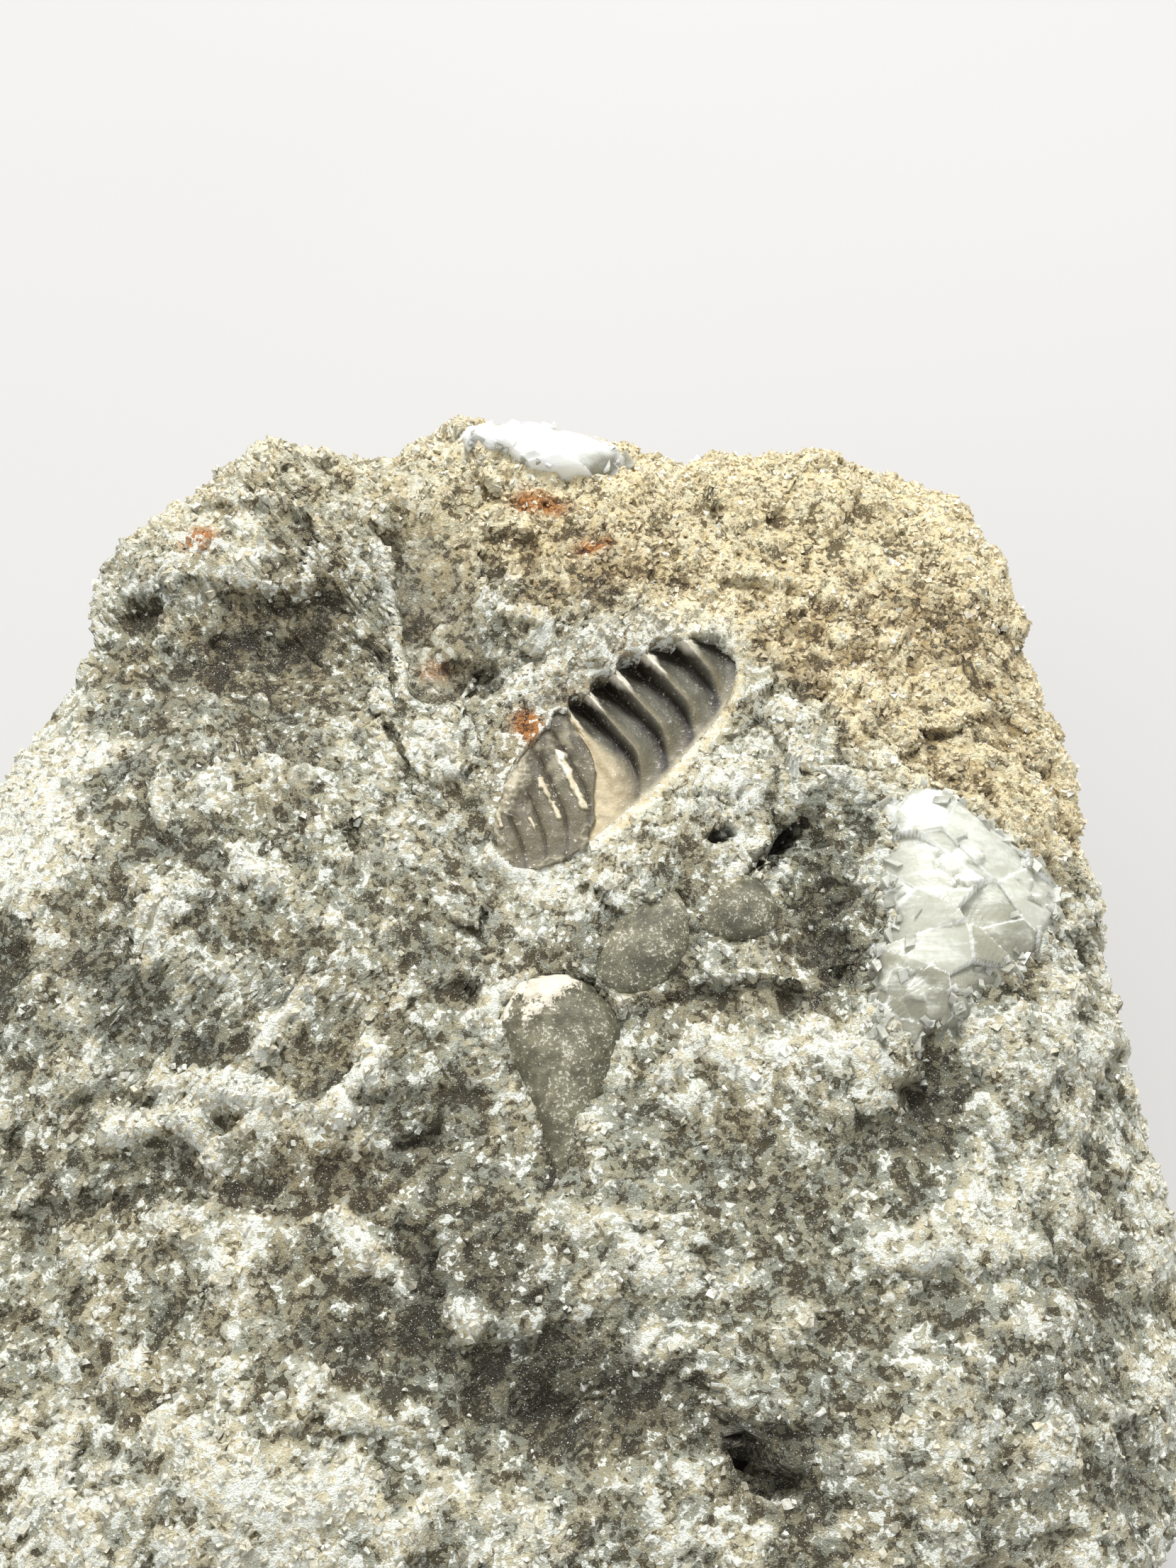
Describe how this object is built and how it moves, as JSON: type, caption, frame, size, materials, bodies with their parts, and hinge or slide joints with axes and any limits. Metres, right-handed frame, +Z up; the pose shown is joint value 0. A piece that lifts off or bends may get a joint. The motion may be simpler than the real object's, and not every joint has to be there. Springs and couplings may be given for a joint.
{
  "type": "trilobite fossil in limestone",
  "caption": "Rough chunk of pale shelly limestone with a trilobite's ribbed tail in its sloping upper face, beside white calcite crystals and smooth shell fragments.",
  "frame": {"origin": "middle of the bounding box, on the flat underside", "axes": "+Z up out of the underside, +Y towards the high back of the rock, +X to the right of the sloping face"},
  "size_m": [0.0425, 0.0442, 0.0241],
  "materials": {
    "limestone": "rough, granular",
    "fossil": "satin",
    "calcite": "milky, cleaved",
    "shell": "smooth"
  },
  "bodies": {
    "root": {"limestone_matrix": "limestone", "trilobite_tail": "fossil", "calcite_crystals": "calcite", "calcite_crest": "calcite", "shell_beak": "shell", "shell_dome": "shell", "shell_dome_small": "shell"}
  },
  "joints": []
}
